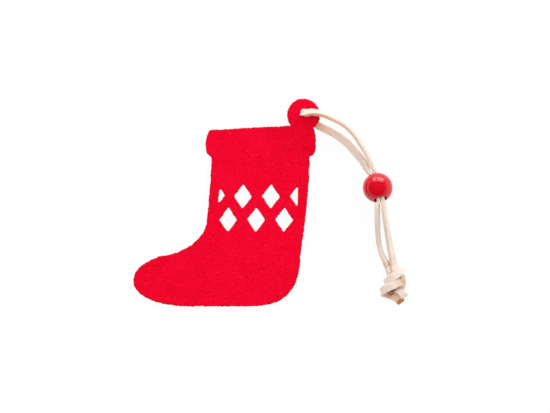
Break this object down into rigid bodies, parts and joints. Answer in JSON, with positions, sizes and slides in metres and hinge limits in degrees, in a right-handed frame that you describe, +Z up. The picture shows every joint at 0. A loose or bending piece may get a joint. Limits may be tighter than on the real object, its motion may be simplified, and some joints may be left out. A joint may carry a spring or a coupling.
{
  "type": "hanging christmas ornament",
  "caption": "Flat felt stocking with a diamond cut-out lattice, hung on a doubled flat lace that runs through a round bead to a knot.",
  "frame": {"origin": "middle of the felt stocking's outline, on the surface that it lies on", "axes": "+X from toe to heel, +Y from sole to cuff, +Z up from the surface, out of the stocking's front"},
  "size_m": [0.1098, 0.0828, 0.012],
  "materials": {
    "felt": "thick red wool felt, matt, with short fibres",
    "suede_lace": "cream suede with a short nap and tan cut edges",
    "painted_bead": "turned wood painted glossy red"
  },
  "bodies": {
    "stocking": {"stocking_panel": "felt"},
    "lace": {"lace_front_upper": "suede_lace", "lace_back_upper": "suede_lace", "lace_front_lower": "suede_lace", "lace_back_lower": "suede_lace", "lace_knot": "suede_lace"},
    "bead": {"bead": "painted_bead"}
  },
  "joints": [
    {"name": "lace_swing", "type": "hinge", "parent": "stocking", "child": "lace", "pos_m": [0.0302, 0.0359, 0.0033], "axis": [0, 0, 1], "range_deg": [0, 150]},
    {"name": "bead_travel", "type": "hinge", "parent": "lace", "child": "bead", "pos_m": [-0.0007, -0.0155, 0.006], "axis": [0, 0, 1], "range_deg": [-21, 22], "deforming": ["lace_front_upper", "lace_back_upper", "lace_front_lower", "lace_back_lower"]}
  ]
}
